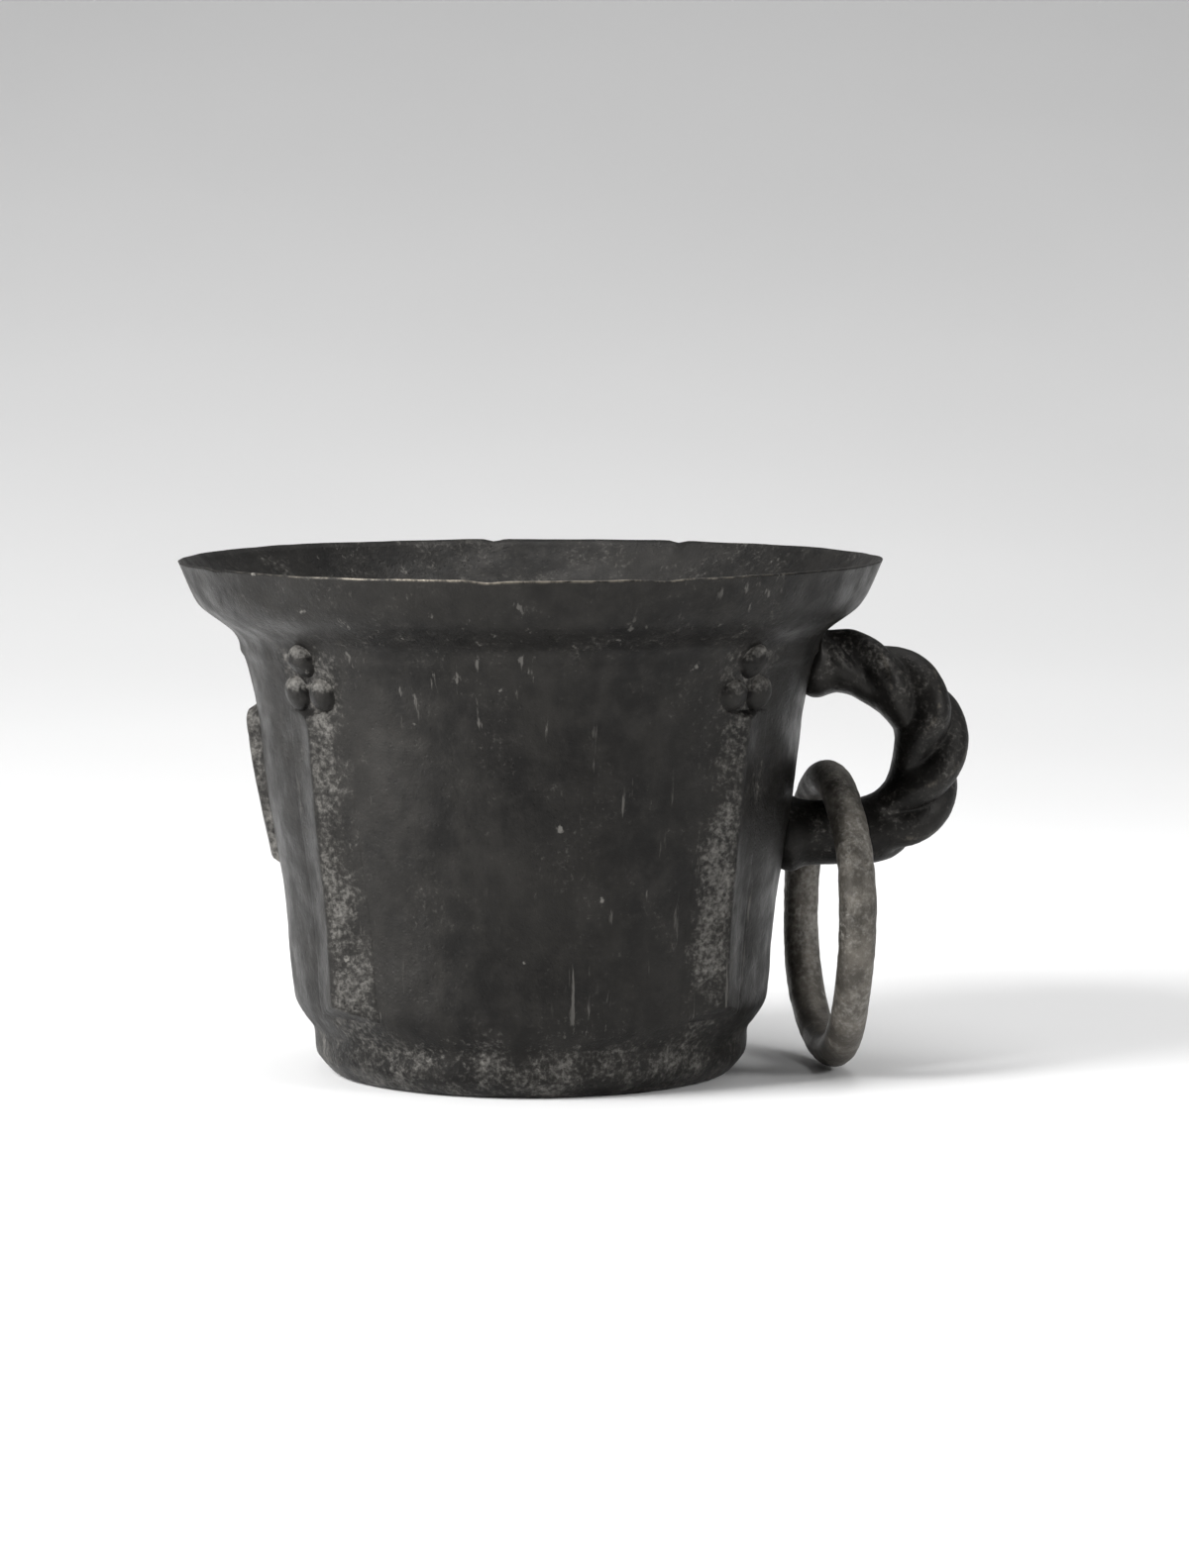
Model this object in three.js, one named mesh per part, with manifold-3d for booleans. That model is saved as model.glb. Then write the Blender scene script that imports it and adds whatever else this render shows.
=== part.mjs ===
// A heavy cast bronze cup of mortar form, in millimetres, +Z up.
// The origin is the centre of the flat base. +X points to the handle, -Y is the front.
import * as THREE from 'three';
import { mergeVertices } from 'three/addons/utils/BufferGeometryUtils.js';
import Module from 'manifold-3d';

const wasm = await Module();
wasm.setup();

// Driving dimensions of the vessel
const rimRadius = 70;
const vesselHeight = 102;
const baseRadius = 40;
const footRadius = 43.2;
const footHeight = 8.5;
const stepRadius = 47.2;
const stepTop = 16.4;
const throatRadius = 57.7;
const throatHeight = 86;
const lipHeight = 9;
const lipUnderRadius = 65.4;
const wallBulge = 0.6;
const wallThickness = 6;
const floorThickness = 10;
const rimLand = 0.9;
const bowlSpring = 44;
const castGap = 0.3;

// Driving dimensions of the applied relief
const ribAzimuths = { front_left: -139, front_right: -41, back_left: 139, back_right: 41 };
const ribFootHalfWidth = 7.2;
const ribTopHalfWidth = 4.6;
const ribFootRise = 3.4;
const ribTopRise = 2.2;
const ribEdgeRise = 0.9;
const pelletRadius = 3.2;
const pelletRise = 2.4;
const pelletSpacing = 7.4;
const topPelletDrop = 1.7;
const lugBottom = 41.8;
const lugTop = 73;
const lugHalfWidth = 4.6;
const lugFootRise = 1.5;
const lugHeadRise = 3.1;

// Driving dimensions of the handle and ring
const upperArmHeight = 81.2;
const lowerArmHeight = 47.4;
const handleReach = 80;
const upperArmRadius = 6.2;
const bowRadius = 7.1;
const lowerArmRadius = 6.5;
const strandCount = 3;
const strandDepth = 0.07;
const handleTurns = 1.65;
const ringRadius = 27.1;
const ringBar = 3.7;
const ringReach = 59.4;
const ringYaw = 9.35;
const hangGap = 0.4;

// Mesh fineness
const roundSides = 60;
const handleSteps = 40;
const handleSides = 15;
const ringSides = 10;
const ringSteps = 36;

const bronze = { color: 0x2b2622, roughness: 0.55, metalness: 0.85 };
const wornBronze = { color: 0x4a443b, roughness: 0.5, metalness: 0.85 };
const radians = THREE.MathUtils.degToRad;
const lerp = THREE.MathUtils.lerp;

// Points of an elliptic arc, angles in degrees from the first axis
function arc(centreR, centreZ, semiR, semiZ, from, to, steps) {
  const points = [];
  for (let i = 0; i <= steps; i++) {
    const angle = radians(lerp(from, to, i / steps));
    points.push(new THREE.Vector2(centreR + semiR * Math.cos(angle), centreZ + semiZ * Math.sin(angle)));
  }
  return points;
}

// The turned outline, from the base's edge up to the rim, as radius and height
function outerOutline() {
  const points = [new THREE.Vector2(baseRadius, 0)];
  points.push(new THREE.Vector2(footRadius - 0.4, footHeight * 0.45));
  points.push(new THREE.Vector2(footRadius, footHeight));
  points.push(new THREE.Vector2(stepRadius - 2, footHeight + 3));
  points.push(new THREE.Vector2(stepRadius, stepTop));
  const wallSteps = 6;
  for (let i = 1; i <= wallSteps; i++) {
    const t = i / wallSteps;
    const bulge = wallBulge * 4 * t * (t - 1);
    points.push(new THREE.Vector2(lerp(stepRadius, throatRadius, t) + bulge, lerp(stepTop, throatHeight, t)));
  }
  const lipBottom = vesselHeight - lipHeight;
  points.push(new THREE.Vector2(throatRadius + 2.1, throatHeight + 2.6));
  points.push(new THREE.Vector2(lipUnderRadius - 1.2, lipBottom - 1.1));
  points.push(new THREE.Vector2(lipUnderRadius, lipBottom));
  points.push(new THREE.Vector2(lipUnderRadius + 2.3, lipBottom + lipHeight * 0.45));
  points.push(new THREE.Vector2(rimRadius, vesselHeight));
  return points;
}

// The hollow, from the rim down to the centre of the floor
function innerOutline() {
  const springRadius = wallRadius(bowlSpring) - wallThickness;
  const points = [new THREE.Vector2(rimRadius - rimLand, vesselHeight)];
  points.push(new THREE.Vector2(lipUnderRadius - 3.5, vesselHeight - lipHeight * 0.7));
  points.push(new THREE.Vector2(throatRadius - wallThickness, throatHeight - 1));
  points.push(new THREE.Vector2(wallRadius(lerp(bowlSpring, throatHeight, 0.5)) - wallThickness,
    lerp(bowlSpring, throatHeight, 0.5)));
  const bowl = arc(0, bowlSpring, springRadius, bowlSpring - floorThickness, 0, -90, 7);
  return points.concat(bowl);
}

// Outer radius of the casting at a height
function wallRadius(z) {
  const outline = outerOutline();
  for (let i = 1; i < outline.length; i++) {
    const low = outline[i - 1];
    const high = outline[i];
    if (z <= high.y) return lerp(low.x, high.x, (z - low.y) / (high.y - low.y));
  }
  return rimRadius;
}

// A closed mesh as a solid, with its faces turned outwards
function solidOf(geometry) {
  geometry.deleteAttribute('normal');
  geometry.deleteAttribute('uv');
  const merged = mergeVertices(geometry, 1e-4);
  const position = merged.attributes.position;
  const corners = [];
  let volume = 0;
  const [a, b, c] = [new THREE.Vector3(), new THREE.Vector3(), new THREE.Vector3()];
  for (let i = 0; i < merged.index.count; i += 3) {
    const face = [0, 1, 2].map((k) => merged.index.getX(i + k));
    if (new Set(face).size < 3) continue;
    [a, b, c].forEach((corner, k) => corner.fromBufferAttribute(position, face[k]));
    volume += a.dot(b.cross(c));
    corners.push(face);
  }
  const triVerts = new Uint32Array(corners.flatMap((face) => (volume < 0 ? face.reverse() : face)));
  const vertProperties = new Float32Array(position.array);
  return new wasm.Manifold(new wasm.Mesh({ numProp: 3, vertProperties, triVerts }));
}

function meshOf(name, solid, look) {
  const { vertProperties, triVerts } = solid.getMesh();
  const geometry = new THREE.BufferGeometry();
  geometry.setAttribute('position', new THREE.BufferAttribute(vertProperties, 3));
  geometry.setIndex(new THREE.BufferAttribute(triVerts, 1));
  geometry.computeVertexNormals();
  const mesh = new THREE.Mesh(geometry, new THREE.MeshStandardMaterial(look));
  mesh.name = name;
  return mesh;
}

function turned(outline) {
  return solidOf(new THREE.LatheGeometry(outline, roundSides).rotateX(Math.PI / 2));
}

// A closed skin over rings of points, with a fan over each end
function loft(rings) {
  const size = rings[0].length;
  const points = rings.flat();
  const faces = [];
  for (let i = 0; i + 1 < rings.length; i++) {
    for (let k = 0; k < size; k++) {
      const [p, q] = [i * size + k, i * size + ((k + 1) % size)];
      faces.push(p, q, q + size, p, q + size, p + size);
    }
  }
  for (const [first, flip] of [[0, true], [(rings.length - 1) * size, false]]) {
    const middle = new THREE.Vector3();
    for (let k = 0; k < size; k++) middle.addScaledVector(points[first + k], 1 / size);
    points.push(middle);
    for (let k = 0; k < size; k++) {
      const [p, q] = [first + k, first + ((k + 1) % size)];
      faces.push(points.length - 1, flip ? q : p, flip ? p : q);
    }
  }
  const geometry = new THREE.BufferGeometry().setFromPoints(points);
  geometry.setIndex(faces);
  return solidOf(geometry);
}

// The space that the casting's wall takes, grown by the gap that the relief keeps to it
function wallEnvelope() {
  const grown = outerOutline().map((p) => new THREE.Vector2(p.x + castGap, p.y));
  return turned([new THREE.Vector2(0, 0), ...grown, new THREE.Vector2(0, vesselHeight)]);
}
const envelope = wallEnvelope();
const sunk = 2;

function vesselBody() {
  return meshOf('vessel_body', turned([new THREE.Vector2(0, 0), ...outerOutline(), ...innerOutline()]), bronze);
}

const topPelletHeight = throatHeight - topPelletDrop;
const pelletRow = pelletSpacing * Math.sin(radians(60));
const lowPelletHeight = topPelletHeight - pelletRow;
const ribTop = lowPelletHeight - pelletRadius - 0.4;

// One V-section rib, standing on the +X side
function rib(name) {
  const levels = 6;
  const rings = [];
  for (let i = 0; i <= levels; i++) {
    const t = i / levels;
    const z = lerp(stepTop - 1.5, ribTop, t);
    const r = wallRadius(z);
    const half = lerp(ribFootHalfWidth, ribTopHalfWidth, t);
    const ridge = r + lerp(ribFootRise, ribTopRise, t);
    const edge = r + ribEdgeRise;
    rings.push([[r - sunk, half], [edge, half], [ridge, 0], [edge, -half], [r - sunk, -half]]
      .map(([x, y]) => new THREE.Vector3(x, y, z)));
  }
  return meshOf(name, loft(rings).subtract(envelope), bronze);
}

// One domed pellet, standing square to the wall on the +X side
function pellet(name, z, offset) {
  const dome = arc(0, 0, pelletRadius, pelletRise, 90, 0, 4);
  const outline = [...dome, new THREE.Vector2(pelletRadius, -sunk), new THREE.Vector2(0, -sunk)];
  const geometry = new THREE.LatheGeometry(outline, 12).rotateX(Math.PI / 2);
  const slope = Math.atan2(wallRadius(z + 1) - wallRadius(z - 1), 2);
  geometry.rotateY(Math.PI / 2 + slope);
  geometry.translate(wallRadius(z), 0, z);
  geometry.rotateZ(offset / wallRadius(z));
  return meshOf(name, solidOf(geometry).subtract(envelope), bronze);
}

function ribGroup(place, azimuth) {
  const group = new THREE.Group();
  group.add(rib(`rib_${place}`));
  group.add(pellet(`pellet_${place}_top`, topPelletHeight, 0));
  group.add(pellet(`pellet_${place}_a`, lowPelletHeight, -pelletSpacing / 2));
  group.add(pellet(`pellet_${place}_b`, lowPelletHeight, pelletSpacing / 2));
  group.rotation.z = radians(azimuth);
  return group;
}

// The short lug opposite the handle: square below, rounded above
function endLug() {
  const rounding = 5;
  const levels = 8;
  const rings = [];
  for (let i = 0; i <= levels; i++) {
    const z = lerp(lugBottom, lugTop, i / levels);
    const over = Math.max(0, (z - (lugTop - rounding)) / rounding) * 0.9;
    const round = Math.sqrt(1 - over * over);
    const r = wallRadius(z);
    const crest = r + castGap + lerp(lugFootRise, lugHeadRise, i / levels) * round;
    const half = lugHalfWidth * round;
    rings.push([[r - sunk, half], [crest - 0.7 * round, half], [crest, half * 0.6], [crest, -half * 0.6],
      [crest - 0.7 * round, -half], [r - sunk, -half]].map(([x, y]) => new THREE.Vector3(-x, y, z)));
  }
  return meshOf('end_lug', loft(rings).subtract(envelope), bronze);
}

// The middle line of the handle, from the upper root round to the lower one
function handleLine() {
  const middle = lerp(lowerArmHeight, upperArmHeight, 0.54);
  return new THREE.CatmullRomCurve3([
    [wallRadius(upperArmHeight) - sunk, upperArmHeight], [61, upperArmHeight + 0.1],
    [66, upperArmHeight - 1], [handleReach - 5.9, upperArmHeight - 4.6], [handleReach, middle],
    [handleReach - 3.6, lowerArmHeight + 5], [67, lowerArmHeight + 0.3],
    [ringReach, lowerArmHeight], [wallRadius(lowerArmHeight) - sunk, lowerArmHeight - 0.3],
  ].map(([x, z]) => new THREE.Vector3(x, 0, z)));
}

// A bar of twisted strands; the twist fades out at both roots
function ropeHandle() {
  const line = handleLine();
  const rings = [];
  for (let i = 0; i <= handleSteps; i++) {
    const t = i / handleSteps;
    const centre = line.getPointAt(t);
    const along = line.getTangentAt(t);
    const across = new THREE.Vector3(along.z, 0, -along.x);
    const fade = THREE.MathUtils.smoothstep(t, 0.1, 0.3) * THREE.MathUtils.smoothstep(1 - t, 0.16, 0.34);
    const ends = t < 0.5 ? upperArmRadius : lowerArmRadius;
    const radius = lerp(ends, bowRadius, Math.sin(Math.PI * t) ** 2);
    const ring = [];
    for (let k = 0; k < handleSides; k++) {
      const angle = (k / handleSides) * 2 * Math.PI;
      const strand = Math.cos(strandCount * (angle - t * handleTurns * 2 * Math.PI));
      const reach = radius * (1 + strandDepth * fade * (strand - 0.5));
      ring.push(centre.clone().addScaledVector(across, reach * Math.cos(angle))
        .add(new THREE.Vector3(0, reach * Math.sin(angle), 0)));
    }
    rings.push(ring);
  }
  return meshOf('rope_handle', loft(rings).subtract(envelope), bronze);
}

// The loose ring hangs on the top of the handle's lower arm
function hangingRing() {
  const geometry = new THREE.TorusGeometry(ringRadius, ringBar, ringSides, ringSteps).rotateY(Math.PI / 2);
  const mesh = meshOf('hanging_ring', solidOf(geometry), wornBronze);
  const armTop = lowerArmHeight + lowerArmRadius;
  mesh.position.set(ringReach, 0, armTop + hangGap + ringBar - ringRadius);
  mesh.rotation.z = radians(ringYaw);
  return mesh;
}

const cup = new THREE.Group();
cup.add(vesselBody());
for (const [place, azimuth] of Object.entries(ribAzimuths)) cup.add(ribGroup(place, azimuth));
cup.add(endLug());
cup.add(ropeHandle());
cup.add(hangingRing());

export default cup;
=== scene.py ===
import math

import bpy
import numpy as np
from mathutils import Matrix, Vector, noise


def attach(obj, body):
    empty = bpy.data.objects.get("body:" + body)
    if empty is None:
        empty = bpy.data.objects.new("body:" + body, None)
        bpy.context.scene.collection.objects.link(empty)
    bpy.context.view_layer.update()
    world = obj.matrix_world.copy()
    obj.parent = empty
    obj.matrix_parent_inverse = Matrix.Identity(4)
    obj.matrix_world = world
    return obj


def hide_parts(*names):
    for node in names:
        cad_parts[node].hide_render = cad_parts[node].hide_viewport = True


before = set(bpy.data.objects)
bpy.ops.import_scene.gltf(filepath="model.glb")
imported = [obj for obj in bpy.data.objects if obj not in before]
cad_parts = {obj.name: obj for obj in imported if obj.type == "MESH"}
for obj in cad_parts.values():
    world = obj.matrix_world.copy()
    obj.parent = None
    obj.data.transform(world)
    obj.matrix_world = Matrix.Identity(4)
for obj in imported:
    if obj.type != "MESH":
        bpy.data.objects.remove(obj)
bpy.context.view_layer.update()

# A dark cast bronze cup of mortar form. Sizes are millimetres until a mesh is made.
# +Z is up, +X points to the handle and -Y is the front. Angles round the cup start at +X.
MM = 0.001
RIM_Z = 102.0
RIM_LIMIT = 69.85
LIP_Z = 93.0
STEP_Z = 14.7
FLOOR_Z = 10.0
RIBS = {"front_left": -139.0, "front_right": -41.0, "back_left": 139.0, "back_right": 41.0}
RIB_FOOT_HALF, RIB_TOP_HALF = 7.2, 4.6
RIB_FOOT_RISE, RIB_TOP_RISE = 3.3, 2.2
RIB_TOP_Z = 74.6
PELLET_RADIUS, PELLET_RISE = 3.25, 2.4
PELLET_SPACING = 7.4
TOP_PELLET_Z = 84.3
LOW_PELLET_Z = TOP_PELLET_Z - PELLET_SPACING * math.sin(math.radians(60))
LUG_Z = (41.8, 73.0)
LUG_HALF = 4.6
LUG_AZIMUTH = 180.0
RING_RADIUS, RING_BAR = 27.1, 3.7
RING_CENTRE = Vector((59.4, 0.0, 30.9))
RING_YAW = math.radians(9.35)
UP = Vector((0, 0, 1))

# Outlines as radius and height, after the photograph's silhouette; the inside is a plain bowl
OUTSIDE = [(38.6, 0.0), (39.8, 0.4), (40.9, 1.4), (42.4, 3.2), (43.0, 4.6), (43.2, 8.0), (43.6, 9.4),
           (44.5, 10.6), (45.9, 12.6), (46.9, 14.7), (47.3, 17.0), (47.7, 21.0), (48.2, 28.5),
           (49.1, 36.6), (50.2, 43.0), (51.6, 52.0), (52.8, 61.5), (53.9, 71.0), (55.1, 77.0),
           (56.1, 81.2), (56.7, 83.0), (57.35, 84.0), (57.5, 85.2), (57.7, 86.0), (58.6, 87.6),
           (60.3, 89.1), (62.6, 90.7), (64.6, 92.2), (65.6, 93.2), (66.6, 94.7), (67.7, 97.0),
           (69.2, 100.6), (69.7, 101.8)]
INSIDE = [(69.2, 101.9), (68.2, 100.7), (65.6, 97.9), (62.0, 94.4), (57.5, 90.0), (53.6, 84.5),
          (51.3, 78.0), (49.0, 66.0), (47.0, 55.0), (44.6, 44.0), (41.0, 31.0), (35.0, 21.0),
          (26.0, 13.8), (15.0, 10.8), (4.0, 10.0)]
BASE_RINGS = [(12.0, 0.0), (26.0, 0.0)]
OUTSIDE_SPACING, INSIDE_SPACING = 0.85, 1.5
VESSEL_COLUMNS = 400

# The handle's middle line in the plane y = 0, with the bar's radius, from the upper root down
HANDLE = [(54.6, 81.8, 6.0), (57.4, 81.3, 6.3), (61.5, 81.3, 6.3), (66.5, 80.2, 6.3), (73.2, 76.6, 6.9),
          (78.5, 71.0, 7.2), (79.2, 64.0, 7.2), (77.9, 57.0, 7.2), (73.6, 50.7, 7.0), (67.0, 47.8, 6.7),
          (60.0, 47.4, 6.4), (54.5, 47.2, 6.4), (49.0, 47.0, 6.6)]
HANDLE_SPACING = 0.32
HANDLE_SIDES = 72
TWIST_PITCH = 36.8
FIRST_GROOVE = 14.0
STRANDS = 3
STRAND_RADIUS, STRAND_OFFSET = 0.60, 0.48
SMOOTHED_INSIDE = 0.92

# The rim's dips as angle, width in degrees and depth
RIM_DIPS = [(-96, 2.4, 0.4), (-68, 3.0, 0.45), (97, 1.2, 0.5), (64, 1.2, 0.5), (-150, 2.0, 0.3)]
# The middle and spread in degrees of the painted highlight on the front rim, towards the camera.
RIM_HIGHLIGHT_ANGLE, RIM_HIGHLIGHT_SPREAD = -93, 38

# How a raised patch joins the wall: its cover, its sunk border and the depth of its underside
PATCH_SEAT = 0.12
BORDER_SINK, BORDER_WIDTH = 0.5, 1.4
PATCH_DEPTH = -1.6


def smooth(low, high, value):
    """0 below low and 1 above high, or the other way round where low is the larger."""
    t = np.clip((value - low) / (high - low), 0.0, 1.0)
    return t * t * (3.0 - 2.0 * t)


def hump(value, middle, width):
    return math.exp(-((value - middle) / width) ** 2)


def degrees_from(theta, angle):
    """The turn from an angle in degrees to theta in radians, -180 to 180."""
    return (math.degrees(theta) - angle + 180) % 360 - 180


def spline(points, spacing):
    """A smooth line through the points, at about one point every spacing."""
    pts = np.array(points, float)
    pts = np.vstack([2 * pts[0] - pts[1], pts, 2 * pts[-1] - pts[-2]])
    line = []
    for i in range(1, len(pts) - 2):
        p0, p1, p2, p3 = pts[i - 1:i + 3]
        count = max(1, round(float(np.linalg.norm((p2 - p1)[:2])) / spacing))
        for k in range(count):
            t = k / count
            line.append(0.5 * (2 * p1 + (p2 - p0) * t + (2 * p0 - 5 * p1 + 4 * p2 - p3) * t ** 2
                               + (3 * p1 - p0 - 3 * p2 + p3) * t ** 3))
    line.append(pts[-2])
    return np.array(line)


OUTLINE = spline(OUTSIDE, OUTSIDE_SPACING)


def wall_radius(z):
    return float(np.interp(z, OUTLINE[:, 1], OUTLINE[:, 0]))


def lumps(x, y, z, size, octaves=3):
    """Smooth seeded noise, about -1 to 1, at a size in millimetres."""
    return noise.fractal(Vector((x, y, z)) / size, 1.0, 2.0, octaves)


def cast_relief(x, y, z):
    """How far the cast skin stands off its true shape."""
    wide = 0.28 * lumps(x + 31, y, z, 24.0, 2)
    fine = 0.10 * lumps(x, y + 57, z * 0.8, 4.2)
    pit = lumps(x, y, z + 91, 2.3, 2)
    return wide + fine - 0.22 * max(0.0, pit - 0.45)


def rim_drop(theta, z):
    """The hammered, worn rim dips and waves along its edge."""
    wave = 0.22 * lumps(14 * math.cos(theta), 14 * math.sin(theta), 7.0, 4.0, 3)
    broad = 0.25 * lumps(9 * math.cos(theta), 9 * math.sin(theta), 40.0, 9.0, 1)
    dips = sum(depth * hump(degrees_from(theta, angle), 0.0, width) for angle, width, depth in RIM_DIPS)
    highest = 0.15
    return float(smooth(LIP_Z + 4.0, RIM_Z, z)) * (min(highest, wave + broad) - dips)


def skin_point(theta, radius, z, lift=0.0):
    """A point on the cast skin, kept inside the rim's circle and height."""
    x, y = radius * math.cos(theta), radius * math.sin(theta)
    reach = min(radius + cast_relief(x, y, z) + lift, RIM_LIMIT)
    height = min(max(0.0, z + rim_drop(theta, z)), RIM_Z)
    return (reach * math.cos(theta), reach * math.sin(theta), height)


def grid_faces(rows, cols, wrap):
    last = cols if wrap else cols - 1
    return [(r * cols + c, r * cols + (c + 1) % cols, (r + 1) * cols + (c + 1) % cols, (r + 1) * cols + c)
            for r in range(rows - 1) for c in range(last)]


def make_piece(name, points, faces, body, nodes, slot, crust_and_light, wear_and_highlight):
    mesh = bpy.data.meshes.new(name)
    mesh.from_pydata([(x * MM, y * MM, z * MM) for x, y, z in points], [], faces)
    # The crust channel also carries the pellets' painted top light, and the wear channel also carries
    # painted highlights on the front rim and the pellet tops.
    for label, values in (("crust_and_light", crust_and_light), ("wear_and_highlight", wear_and_highlight)):
        layer = mesh.attributes.new(label, "FLOAT", "POINT")
        layer.data.foreach_set("value", np.asarray(values, "f"))
    mesh.validate()
    mesh.update()
    mesh.shade_smooth()
    piece = bpy.data.objects.new(name, mesh)
    bpy.context.collection.objects.link(piece)
    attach(piece, body)
    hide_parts(*nodes)
    mesh.materials.append(MATERIALS[slot])


def near_rib(theta, z):
    """Closeness to the nearest rib, 1 beside it and 0 well away."""
    away = min(abs(degrees_from(theta, azimuth)) for azimuth in RIBS.values())
    return hump(max(0.0, away - 5.0), 0.0, 5.5) * float(smooth(92, 84, z))


def outside_crust(theta, z):
    foot = 0.38 * float(smooth(16, 7, z))
    throat = 0.15 * float(smooth(86.0, 88.5, z) * smooth(93, 90, z))
    return max(0.24 + (foot + throat), 0.68 * near_rib(theta, z))


def rim_wear_and_highlight(theta, z):
    """Rubbed metal all round the rim, and a painted highlight added on top of it at the front, towards the
    camera.
    """
    # The front hump is a painted highlight on the near rim; the even part is rubbed metal.
    front = hump(degrees_from(theta, RIM_HIGHLIGHT_ANGLE), 0.0, RIM_HIGHLIGHT_SPREAD)
    return (0.35 + 0.3 * front) * float(smooth(101.0, 101.7, z))


def close_disc(points, faces, first, cols, z, facing_down):
    """Fans one ring of points to a middle point on the axis."""
    middle = len(points)
    points.append((0.0, 0.0, z))
    for c in range(cols):
        here, after = first + c, first + (c + 1) % cols
        faces.append((after, here, middle) if facing_down else (here, after, middle))


def vessel():
    rows = BASE_RINGS + [tuple(p) for p in OUTLINE] + [tuple(p) for p in spline(INSIDE, INSIDE_SPACING)]
    turned_in = len(BASE_RINGS) + len(OUTLINE)
    inside_crust, disc_crust = 0.42, 0.4
    points, crust_and_light, wear_and_highlight = [], [], []
    for i, (radius, z) in enumerate(rows):
        on_base = i <= len(BASE_RINGS)
        for c in range(VESSEL_COLUMNS):
            theta = 2 * math.pi * c / VESSEL_COLUMNS
            flat = (radius * math.cos(theta), radius * math.sin(theta), 0.0)
            points.append(flat if on_base else skin_point(theta, radius, z))
            crust_and_light.append(outside_crust(theta, z) if i < turned_in else inside_crust)
            # Rubbed metal on the rim, with the painted front-rim highlight.
            wear_and_highlight.append(rim_wear_and_highlight(theta, z))
    faces = grid_faces(len(rows), VESSEL_COLUMNS, True)
    last_ring = (len(rows) - 1) * VESSEL_COLUMNS
    close_disc(points, faces, 0, VESSEL_COLUMNS, 0.0, True)
    close_disc(points, faces, last_ring, VESSEL_COLUMNS, FLOOR_Z, False)
    crust_and_light += [disc_crust] * 2
    wear_and_highlight += [0.0] * 2
    make_piece("bronze_vessel", points, faces, "casting", ["vessel_body"], "cast_bronze", crust_and_light, wear_and_highlight)


def patch_faces(rows, cols):
    """The top, the underside and the walls between them, of two grids one after the other."""
    size = rows * cols
    top = grid_faces(rows, cols, False)
    under = [tuple(size + k for k in reversed(face)) for face in top]
    border = list(range(cols)) + [r * cols + cols - 1 for r in range(1, rows)]
    border += [(rows - 1) * cols + c for c in range(cols - 2, -1, -1)]
    border += [r * cols for r in range(rows - 2, 0, -1)]
    walls = [(b, a, size + a, size + b) for a, b in zip(border, border[1:] + border[:1])]
    return top + under + walls


def patch(name, node, azimuth, z_range, half_width, height, shade, counts, fillet):
    """A closed raised patch on the wall; its edge sinks just under the skin, as a cast fillet does."""
    low, high = z_range
    rows, cols = counts
    top, under, crust_and_light, wear_and_highlight = [], [], [], []
    for z in np.linspace(low, high, rows):
        radius = wall_radius(z)
        for u in np.linspace(-half_width, half_width, cols):
            theta = math.radians(azimuth) + u / radius
            value = height(u, z)
            from_edge = min(half_width - abs(u), z - low, high - z)
            sink = PATCH_SEAT + BORDER_SINK * float(smooth(BORDER_WIDTH, 0.2, from_edge))
            lift = 0.5 * (value + math.sqrt(value * value + fillet ** 2)) - sink
            top.append(skin_point(theta, radius, z, lift))
            under.append(skin_point(theta, radius, z, PATCH_DEPTH))
            pale, worn_and_highlit = shade(u, z, lift)
            crust_and_light.append(pale)
            wear_and_highlight.append(worn_and_highlit)
    faces = patch_faces(rows, cols)
    make_piece(name, top + under, faces, "casting", [node], "cast_bronze", crust_and_light * 2, wear_and_highlight * 2)


def along_rib(foot, top, z):
    return foot + (top - foot) * ((z - STEP_Z) / (RIB_TOP_Z - STEP_Z))


def rib(place, azimuth):
    """A tapering V-section rib whose crest wavers, with most crust on the flank to the middle."""
    inward = 1 if place.endswith("left") == place.startswith("front") else -1
    margin = 2.8

    def height(u, z):
        bent = u + 0.25 * math.sin(z * 0.09 + azimuth)
        across = 1 - math.sqrt(bent * bent + 0.16) / along_rib(RIB_FOOT_HALF, RIB_TOP_HALF, z)
        slope = along_rib(RIB_FOOT_RISE, RIB_TOP_RISE, z) * across
        return min(slope, (z - STEP_Z) * 1.5, (RIB_TOP_Z - z) * 1.6)

    def shade(u, z, lift):
        half = along_rib(RIB_FOOT_HALF, RIB_TOP_HALF, z)
        above_foot = float(smooth(STEP_Z - 1.0, STEP_Z + 6.0, z))
        facing = float(smooth(-0.6, 1.6, u * inward)) * float(smooth(half + 2.5, half - 1.5, abs(u)))
        crest = float(smooth(0.75, 1.0, lift / RIB_FOOT_RISE))
        return 0.42 + 0.3 * above_foot * facing, 0.4 * crest

    patch(f"rib_{place}_cast", f"rib_{place}", azimuth, (STEP_Z - 1.6, RIB_TOP_Z + 1.0),
          RIB_FOOT_HALF + margin, height, shade, (120, 56), 1.1)


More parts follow.
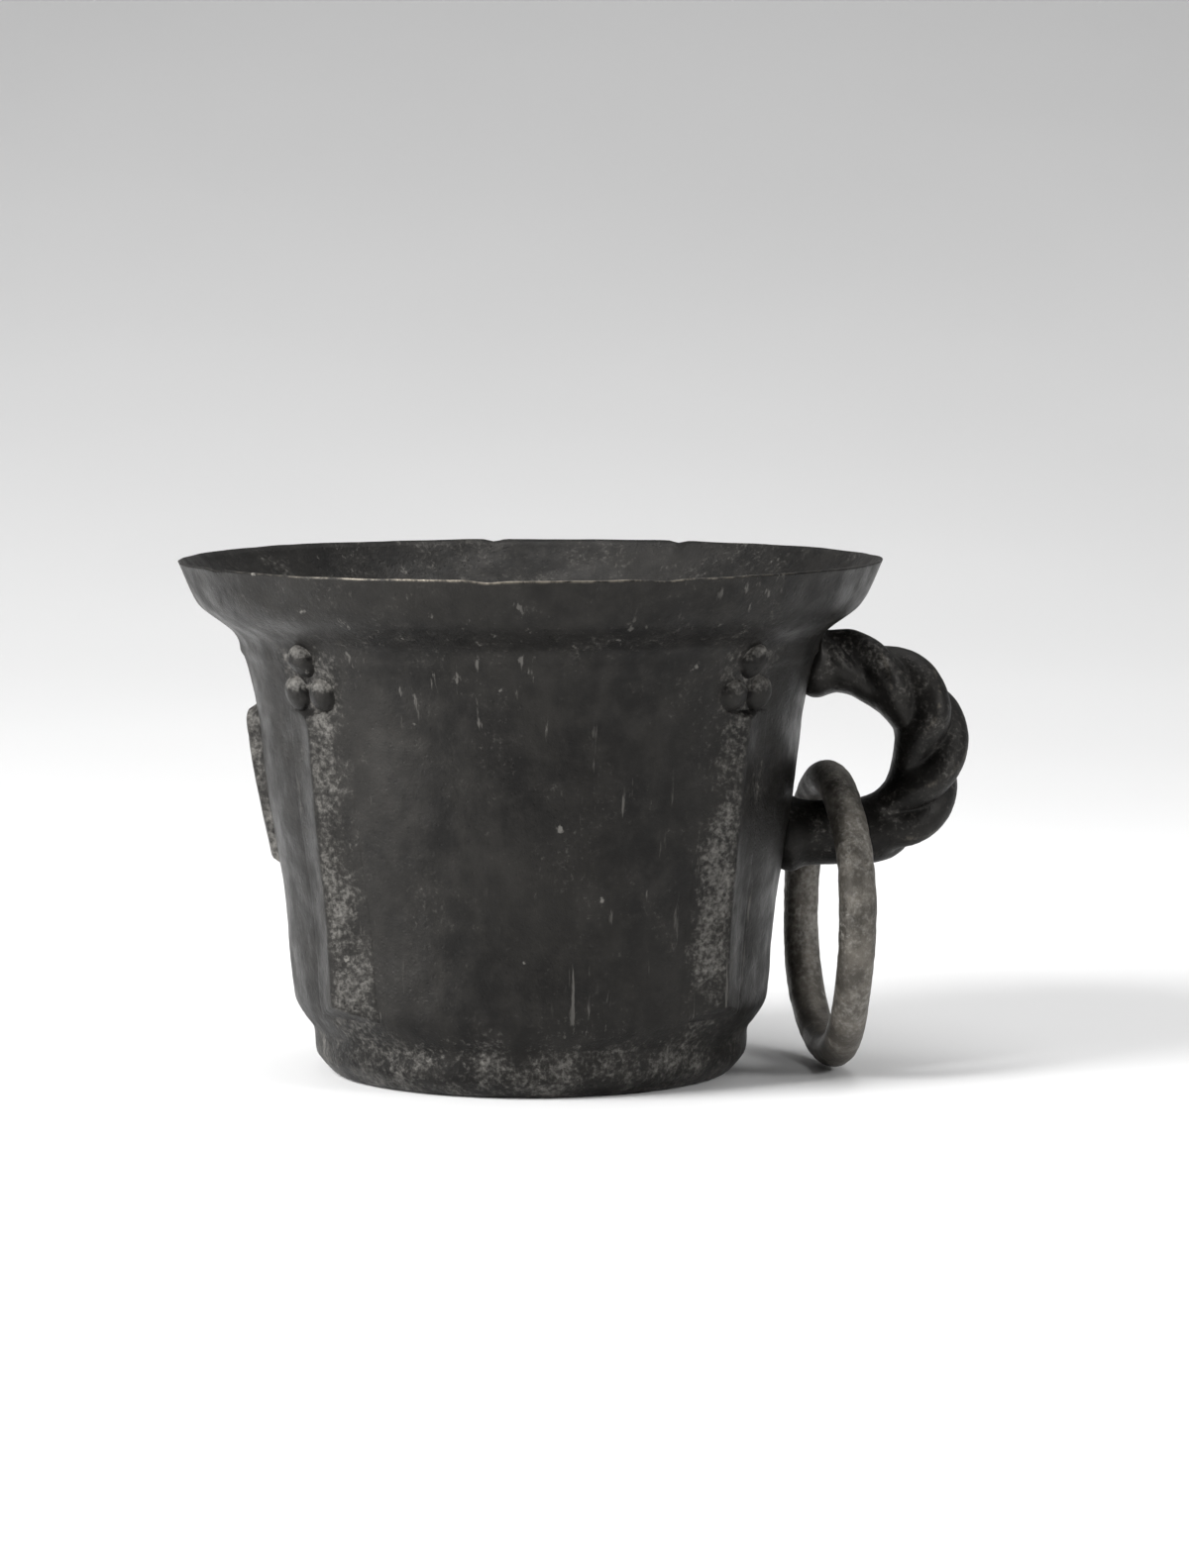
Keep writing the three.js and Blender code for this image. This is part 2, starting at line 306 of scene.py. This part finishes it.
def pellet(node, azimuth, centre_z, centre_u):
    """A domed pellet whose upper side is painted paler, partly crust and partly painted light from above,
    with a painted highlight of rubbed metal on its top and painted shade below.
    """
    size = PELLET_RADIUS * (1 + 0.05 * math.sin(azimuth + centre_u * 3))
    reach = PELLET_RADIUS + 1.2
    turn = math.degrees(centre_u / wall_radius(centre_z))

    def height(u, z):
        away = math.hypot(u, z - centre_z)
        if away < size:
            return PELLET_RISE * math.sqrt(1 - (away / size) ** 2)
        return -(away - size) * 1.8

    def shade(u, z, lift):
        # Painted light: the upper side gets more crust colour and its top crest the rubbed-metal colour,
        # as if lit from above; the lower side stays dark as painted shade.
        painted_top_light = float(smooth(-0.8, 2.4, z - centre_z))
        crest = float(smooth(0.5, 1.0, lift / PELLET_RISE))
        return 0.25 + 0.75 * painted_top_light, 0.4 * painted_top_light * crest

    patch(node + "_cast", node, azimuth + turn, (centre_z - reach, centre_z + reach), reach, height, shade,
          (44, 44), 0.3)


def pellets(place, azimuth):
    """Three pellets over a rib, one above two."""
    pellet(f"pellet_{place}_top", azimuth, TOP_PELLET_Z, 0.0)
    pellet(f"pellet_{place}_a", azimuth, LOW_PELLET_Z, -PELLET_SPACING / 2)
    pellet(f"pellet_{place}_b", azimuth, LOW_PELLET_Z, PELLET_SPACING / 2)


def lug():
    """The short lug opposite the handle: square below, rounded above."""
    low, high = LUG_Z
    rounding = 4.5

    def height(u, z):
        over = max(0.0, z - (high - rounding))
        rise = 1.5 + 1.6 * (z - low) / (high - low)
        rise *= math.sqrt(max(0.05, 1.0 - (over / LUG_HALF) ** 2))
        side = LUG_HALF - math.hypot(u, over)
        return min(rise - 0.03 * u * u, side * 1.8, (z - low) * 1.8)

    def shade(u, z, lift):
        return 0.85, 0.2 * min(1.0, lift / 3.0)

    patch("end_lug_cast", "end_lug", LUG_AZIMUTH, (low - 1.2, high + 1.2), LUG_HALF + 1.6, height, shade,
          (90, 40), 0.45)


def strand_section(turn):
    """The reach of a bundle of strands at a turn, as a share of its radius, and the turn off a crest."""
    share = math.pi / STRANDS
    off = (turn + share) % (2 * share) - share
    off = share - abs(off)
    lobe = STRAND_OFFSET * math.cos(off)
    lobe += math.sqrt(STRAND_RADIUS ** 2 - (STRAND_OFFSET * math.sin(off)) ** 2)
    return lobe, off


def rope_handle():
    """Strands twisted together; the twist fades out into a plain root at both ends."""
    line = spline(HANDLE, HANDLE_SPACING)
    steps = np.diff(line[:, :2], axis=0)
    run = np.concatenate([[0.0], np.cumsum(np.linalg.norm(steps, axis=1))])
    total = run[-1]
    along = np.gradient(line[:, :2], axis=0)
    along /= np.linalg.norm(along, axis=1)[:, None]
    points, crust_and_light, wear_and_highlight = [], [], []
    for (x, z, radius), s, (ax, az) in zip(line, run, along):
        twist = float(smooth(3.0, 9.0, s) * smooth(total - 19.0, total - 24.0, s))
        flare = 0.8 * hump(s, 2.4, 1.6) + 1.1 * hump(total - s, 2.5, 2.0)
        for k in range(HANDLE_SIDES):
            angle = 2 * math.pi * k / HANDLE_SIDES
            fade = twist * (1.0 - SMOOTHED_INSIDE * float(smooth(0.05, 0.75, -math.cos(angle))))
            lobe, off = strand_section(angle + 2 * math.pi * (s - FIRST_GROOVE) / TWIST_PITCH)
            reach = radius * (1 + fade * (lobe - 1.0)) + flare
            out, side = reach * math.cos(angle), reach * math.sin(angle)
            px, pz = x - out * az, z + out * ax
            skin = 0.75 * cast_relief(px, side, pz)
            skin_out, skin_side = skin * math.cos(angle), skin * math.sin(angle)
            points.append((px - skin_out * az, side + skin_side, pz + skin_out * ax))
            crust_and_light.append(0.44)
            wear_and_highlight.append(0.45 * fade * max(0.0, 1.0 - off / 0.35))
    faces = grid_faces(len(line), HANDLE_SIDES, True)
    last = (len(line) - 1) * HANDLE_SIDES
    faces.append(tuple(range(HANDLE_SIDES))[::-1])
    faces.append(tuple(last + k for k in range(HANDLE_SIDES)))
    make_piece("twisted_handle", points, faces, "casting", ["rope_handle"], "cast_bronze", crust_and_light, wear_and_highlight)


def forged_skin(spot):
    """Small lumps and pits of a forged bar, never far above its true shape."""
    lump = 0.16 * lumps(spot.x, spot.y, spot.z, 3.2)
    pit = 0.15 * max(0.0, lumps(spot.x, spot.y, spot.z, 1.4, 2) - 0.4)
    return min(lump - pit, 0.05)


def hanging_ring():
    """A forged bar bent round; its thickness and line waver a little, save where it hangs."""
    steps, sides = 260, 40
    flat = Vector((math.sin(RING_YAW), -math.cos(RING_YAW), 0.0))
    normal = Vector((math.cos(RING_YAW), math.sin(RING_YAW), 0.0))
    points = []
    for i in range(steps):
        turn = 2 * math.pi * i / steps
        out = flat * math.cos(turn) + UP * math.sin(turn)
        low = float(smooth(0.92, 0.5, math.sin(turn)))
        wide = RING_RADIUS + 0.22 * low * math.sin(2 * turn + 0.8)
        middle = RING_CENTRE + out * wide + normal * (0.25 * low * math.sin(3 * turn))
        bar = RING_BAR * (0.975 + 0.022 * math.sin(5 * turn + 1.0) * low)
        for k in range(sides):
            angle = 2 * math.pi * k / sides
            way = out * math.cos(angle) + normal * math.sin(angle)
            spot = middle + way * bar
            points.append(tuple(spot + way * forged_skin(spot)))
    faces = grid_faces(steps, sides, True)
    last = (steps - 1) * sides
    faces += [(last + k, last + (k + 1) % sides, (k + 1) % sides, k) for k in range(sides)]
    crust_and_light, wear_and_highlight = [0.62] * len(points), [0.3] * len(points)
    make_piece("bar_ring", points, faces, "ring", ["hanging_ring"], "ring_bronze", crust_and_light, wear_and_highlight)


class Shader:
    """A short way to write node trees."""

    def __init__(self, name):
        self.material = bpy.data.materials.new(name)
        self.material.use_nodes = True
        self.tree = self.material.node_tree
        self.bsdf = self.tree.nodes["Principled BSDF"]
        self.where = self.tree.nodes.new("ShaderNodeTexCoord").outputs["Object"]

    def feed(self, socket, value):
        if isinstance(value, bpy.types.NodeSocket):
            self.tree.links.new(value, socket)
        else:
            socket.default_value = value

    def node(self, kind, settings=None, **inputs):
        made = self.tree.nodes.new("ShaderNode" + kind)
        for key, value in (settings or {}).items():
            setattr(made, key, value)
        for key, value in inputs.items():
            self.feed(made.inputs[key], value)
        return made

    def noise(self, scale, detail=4.0, rough=0.55, stretch=None):
        where = self.where
        if stretch:
            where = self.node("Mapping", Vector=where, Scale=stretch).outputs[0]
        return self.node("TexNoise", Vector=where, Scale=scale, Detail=detail, Roughness=rough).outputs[0]

    def cells(self, scale):
        made = self.node("TexVoronoi", {"feature": "F1"}, Vector=self.where, Scale=scale)
        return made.outputs["Distance"]

    def ramp(self, value, low, high, start=0.0, end=1.0):
        made = self.node("MapRange", {"clamp": True, "interpolation_type": "SMOOTHSTEP"}, Value=value)
        for key, number in (("From Min", low), ("From Max", high), ("To Min", start), ("To Max", end)):
            made.inputs[key].default_value = number
        return made.outputs[0]

    def patches(self, scale, detail, low, high):
        return self.ramp(self.noise(scale, detail), low, high)

    def math(self, operation, *values):
        made = self.node("Math", {"operation": operation})
        for socket, value in zip(made.inputs, values):
            self.feed(socket, value)
        return made.outputs[0]

    def times(self, a, b):
        return self.math("MULTIPLY", a, b)

    def mix(self, share, a, b):
        made = self.node("MixRGB", {"blend_type": "MIX"}, Fac=share)
        self.feed(made.inputs[1], a)
        self.feed(made.inputs[2], b)
        return made.outputs[0]

    def attribute(self, name):
        return self.node("Attribute", {"attribute_name": name}).outputs["Fac"]


def paler(colour, gain):
    return tuple(gain * c for c in colour[:3]) + (1.0,)


def patina(s, dark, mid):
    """Dark colour in broad clouds, with paler small clouds and upright streaks."""
    colour = s.mix(s.patches(38, 3, 0.35, 0.7), dark, mid)
    cloudy = s.ramp(s.noise(190, 5, 0.65), 0.38, 0.68)
    colour = s.mix(s.times(cloudy, 0.45), colour, paler(mid, 1.9))
    upright = (1.0, 1.0, 0.12)
    streak = s.ramp(s.noise(170, 5, 0.6, upright), 0.45, 0.75)
    return s.mix(s.times(streak, 0.5), colour, paler(mid, 1.7))


def pale_cover(s, crust_and_light_gain):
    """How much crust, flecks, scratches and specks cover the patina, 0 to 1; the crust includes the
    painted light on the pellets' tops.
    """
    granular = s.noise(1000, 4, 0.65)
    veil = s.math("ADD", s.times(s.noise(95, 6, 0.7), 0.55), s.times(granular, 0.6))
    veil = s.math("ADD", veil, s.times(s.attribute("crust_and_light"), crust_and_light_gain))
    crust_and_light = s.ramp(veil, 0.74, 1.08)
    ragged = s.math("ADD", s.cells(120), s.times(granular, 0.35))
    flecks = s.times(s.ramp(ragged, 0.27, 0.2), s.patches(55, 2, 0.5, 0.6))
    upright = (8.0, 8.0, 0.6)
    scratch = s.ramp(s.noise(60, 4, 0.6, upright), 0.62, 0.7)
    scratch = s.times(scratch, s.patches(22, 2, 0.45, 0.6))
    speck = s.times(s.ramp(s.noise(900, 3, 0.7), 0.56, 0.72), s.patches(60, 3, 0.45, 0.65))
    pale = s.math("MAXIMUM", crust_and_light, s.math("MAXIMUM", flecks, s.times(scratch, 0.5)))
    return s.math("MAXIMUM", pale, s.times(speck, 0.22))


def cast_bumps(s, pale):
    """Coarse and fine grain, with the crust standing a little proud."""
    coarse = s.node("Bump", Height=s.noise(330, 6, 0.65), Strength=0.35, Distance=0.0006).outputs[0]
    grain = s.math("SUBTRACT", s.noise(1500, 4, 0.6), s.ramp(s.cells(700), 0.3, 0.0))
    fine = s.node("Bump", Height=grain, Strength=0.3, Distance=0.0002, Normal=coarse).outputs[0]
    return s.node("Bump", Height=pale, Strength=0.5, Distance=0.00025, Normal=fine).outputs[0]


def bronze(name, dark, mid, crust_and_light_colour, crust_and_light_gain, metal):
    """Dark patina over bronze, pale mineral crust in the recesses, rubbed metal on the edges; the crust
    and rubbed-metal colours also paint the pellets' lit tops and the front-rim highlight.
    """
    s = Shader(name)
    rubbed_metal_and_highlight = (0.36, 0.32, 0.26, 1.0)
    pale = pale_cover(s, crust_and_light_gain)
    colour = s.mix(s.times(pale, 0.85), patina(s, dark, mid), crust_and_light_colour)
    broken = s.ramp(s.noise(420, 6, 0.7), 0.3, 0.6, 0.45, 1.0)
    # Rubbed metal where the wear channel asks, which also paints the front-rim highlight and the pellets'
    # top highlight.
    worn_and_highlit = s.ramp(s.times(s.attribute("wear_and_highlight"), broken), 0.25, 0.95)
    s.feed(s.bsdf.inputs["Base Color"], s.mix(worn_and_highlit, colour, rubbed_metal_and_highlight))
    rough = s.ramp(s.noise(150, 5), 0.3, 0.7, 0.38, 0.58)
    s.feed(s.bsdf.inputs["Roughness"], s.math("ADD", rough, s.times(pale, 0.3)))
    s.feed(s.bsdf.inputs["Metallic"], s.times(s.ramp(pale, 0.0, 0.8, 1.0, 0.0), metal))
    s.feed(s.bsdf.inputs["Normal"], cast_bumps(s, pale))
    return s.material


def plain_floor():
    s = Shader("pale_floor")
    shade = s.patches(3.0, 2, 0.3, 0.7)
    s.feed(s.bsdf.inputs["Base Color"], s.mix(shade, (0.83, 0.83, 0.83, 1), (0.86, 0.86, 0.86, 1)))
    s.bsdf.inputs["Roughness"].default_value = 0.75
    return s.material


# The room, in metres: the floor's half width and bend, and each lamp's place, size and power
FLOOR_HALF = 3.0
BEND_START, BEND_RADIUS, BEND_TURN, BEND_STEPS = 0.45, 2.4, 1.5, 60
LAMPS = {
    "key": ((-0.82, -0.5, 0.75), 0.55, 20.0),
    "left_strip": ((-0.8, -0.45, 0.12), 0.28, 3.4),
    "right_edge": ((0.85, -0.6, 0.5), 0.3, 4.5),
    "top": ((0.0, 0.1, 1.3), 0.9, 10.0),
}
LAMP_AIM = Vector((0, 0, 0.05))
ROOM_SHADE = {"From Min": -0.9, "From Max": 0.4, "To Min": 0.06, "To Max": 0.4}


def floor_sweep():
    """A pale floor that bends up into the background."""
    line = [(-FLOOR_HALF, 0.0)]
    for t in np.linspace(0, BEND_TURN, BEND_STEPS):
        line.append((BEND_START + BEND_RADIUS * math.sin(t), BEND_RADIUS - BEND_RADIUS * math.cos(t)))
    points = [(x, y, z) for y, z in line for x in (-FLOOR_HALF, FLOOR_HALF)]
    faces = [(2 * i, 2 * i + 1, 2 * i + 3, 2 * i + 2) for i in range(len(line) - 1)]
    mesh = bpy.data.meshes.new("floor_sweep")
    mesh.from_pydata(points, [], faces)
    mesh.shade_smooth()
    mesh.materials.append(plain_floor())
    floor = bpy.data.objects.new("floor_sweep", mesh)
    bpy.context.collection.objects.link(floor)


def soft_room():
    """White fill light, dimmer from the front than from behind."""
    world = bpy.data.worlds.new("soft_room")
    world.use_nodes = True
    tree = world.node_tree
    background = tree.nodes["Background"]
    background.inputs[0].default_value = (1, 1, 1, 1)
    room = tree.nodes.new("ShaderNodeSeparateXYZ")
    tree.links.new(tree.nodes.new("ShaderNodeTexCoord").outputs["Generated"], room.inputs[0])
    dim = tree.nodes.new("ShaderNodeMapRange")
    tree.links.new(room.outputs["Y"], dim.inputs["Value"])
    for key, number in ROOM_SHADE.items():
        dim.inputs[key].default_value = number
    tree.links.new(dim.outputs[0], background.inputs[1])
    bpy.context.scene.world = world


def lamps():
    """One wide light from the upper left, with weaker ones to draw the edges."""
    for name, (place, size, power) in LAMPS.items():
        data = bpy.data.lights.new(name, "AREA")
        data.size = size
        data.energy = power
        lamp = bpy.data.objects.new(name, data)
        lamp.location = place
        lamp.rotation_euler = (LAMP_AIM - Vector(place)).to_track_quat("-Z", "Y").to_euler()
        bpy.context.collection.objects.link(lamp)


def camera():
    downward = 5.83
    data = bpy.data.cameras.new("photo_camera")
    data.lens = 120.0
    data.sensor_width = 36.0
    view = bpy.data.objects.new("photo_camera", data)
    view.location = (0.0127, -1.035, 0.1626)
    view.rotation_euler = (math.radians(90 - downward), 0.0, 0.0)
    bpy.context.collection.objects.link(view)
    bpy.context.scene.camera = view


MATERIALS = {
    "cast_bronze": bronze("cast_bronze_patina", dark=(0.006, 0.0055, 0.005, 1),
                          mid=(0.0135, 0.0125, 0.0112, 1), crust_and_light_colour=(0.15, 0.142, 0.128, 1),
                          crust_and_light_gain=0.36, metal=0.7),
    "ring_bronze": bronze("ring_bronze_patina", dark=(0.04, 0.036, 0.03, 1),
                          mid=(0.1, 0.09, 0.076, 1), crust_and_light_colour=(0.25, 0.24, 0.22, 1),
                          crust_and_light_gain=0.38, metal=0.5),
}

camera()
floor_sweep()
soft_room()
lamps()
vessel()
for place, azimuth in RIBS.items():
    rib(place, azimuth)
    pellets(place, azimuth)
lug()
rope_handle()
hanging_ring()
bpy.context.scene.view_settings.view_transform = "Standard"
